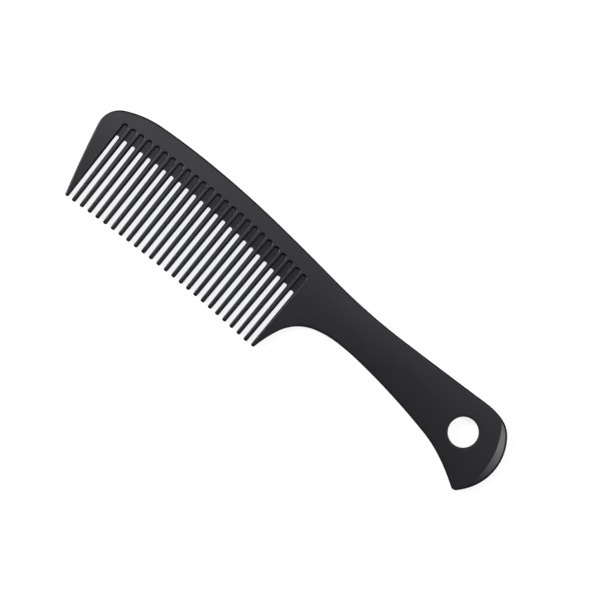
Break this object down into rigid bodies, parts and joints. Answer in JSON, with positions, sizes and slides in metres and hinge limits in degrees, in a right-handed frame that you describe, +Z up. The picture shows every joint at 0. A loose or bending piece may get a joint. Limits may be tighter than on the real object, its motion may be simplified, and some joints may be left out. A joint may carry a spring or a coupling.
{
  "type": "handle comb",
  "caption": "One-piece wide-tooth styling comb with a curved spine, tapering guard teeth and a shaped handle that ends in a round hanging hole.",
  "frame": {"origin": "under the middle of the comb's outline, on the surface it lies on", "axes": "+X from the nose to the butt of the handle, +Y from the tooth tips to the spine, +Z up through the thickness along the hanging hole"},
  "size_m": [0.2201, 0.0486, 0.0046],
  "materials": {
    "moulded_plastic": "satin black, finely textured as moulded"
  },
  "bodies": {
    "root": {"front_guard_tooth": "moulded_plastic", "grip": "moulded_plastic", "hanging_end": "moulded_plastic", "heel_guard_tooth": "moulded_plastic", "neck": "moulded_plastic", "root_web_01": "moulded_plastic", "root_web_02": "moulded_plastic", "root_web_03": "moulded_plastic", "root_web_04": "moulded_plastic", "root_web_05": "moulded_plastic", "root_web_06": "moulded_plastic", "root_web_07": "moulded_plastic", "root_web_08": "moulded_plastic", "root_web_09": "moulded_plastic", "root_web_10": "moulded_plastic", "root_web_11": "moulded_plastic", "root_web_12": "moulded_plastic", "root_web_13": "moulded_plastic", "root_web_14": "moulded_plastic", "root_web_15": "moulded_plastic", "root_web_16": "moulded_plastic", "root_web_17": "moulded_plastic", "root_web_18": "moulded_plastic", "root_web_19": "moulded_plastic", "root_web_20": "moulded_plastic", "root_web_21": "moulded_plastic", "root_web_22": "moulded_plastic", "root_web_23": "moulded_plastic", "root_web_24": "moulded_plastic", "root_web_25": "moulded_plastic", "spine": "moulded_plastic", "tooth_01": "moulded_plastic", "tooth_02": "moulded_plastic", "tooth_03": "moulded_plastic", "tooth_04": "moulded_plastic", "tooth_05": "moulded_plastic", "tooth_06": "moulded_plastic", "tooth_07": "moulded_plastic", "tooth_08": "moulded_plastic", "tooth_09": "moulded_plastic", "tooth_10": "moulded_plastic", "tooth_11": "moulded_plastic", "tooth_12": "moulded_plastic", "tooth_13": "moulded_plastic", "tooth_14": "moulded_plastic", "tooth_15": "moulded_plastic", "tooth_16": "moulded_plastic", "tooth_17": "moulded_plastic", "tooth_18": "moulded_plastic", "tooth_19": "moulded_plastic", "tooth_20": "moulded_plastic", "tooth_21": "moulded_plastic", "tooth_22": "moulded_plastic", "tooth_23": "moulded_plastic", "tooth_24": "moulded_plastic"}
  },
  "joints": []
}
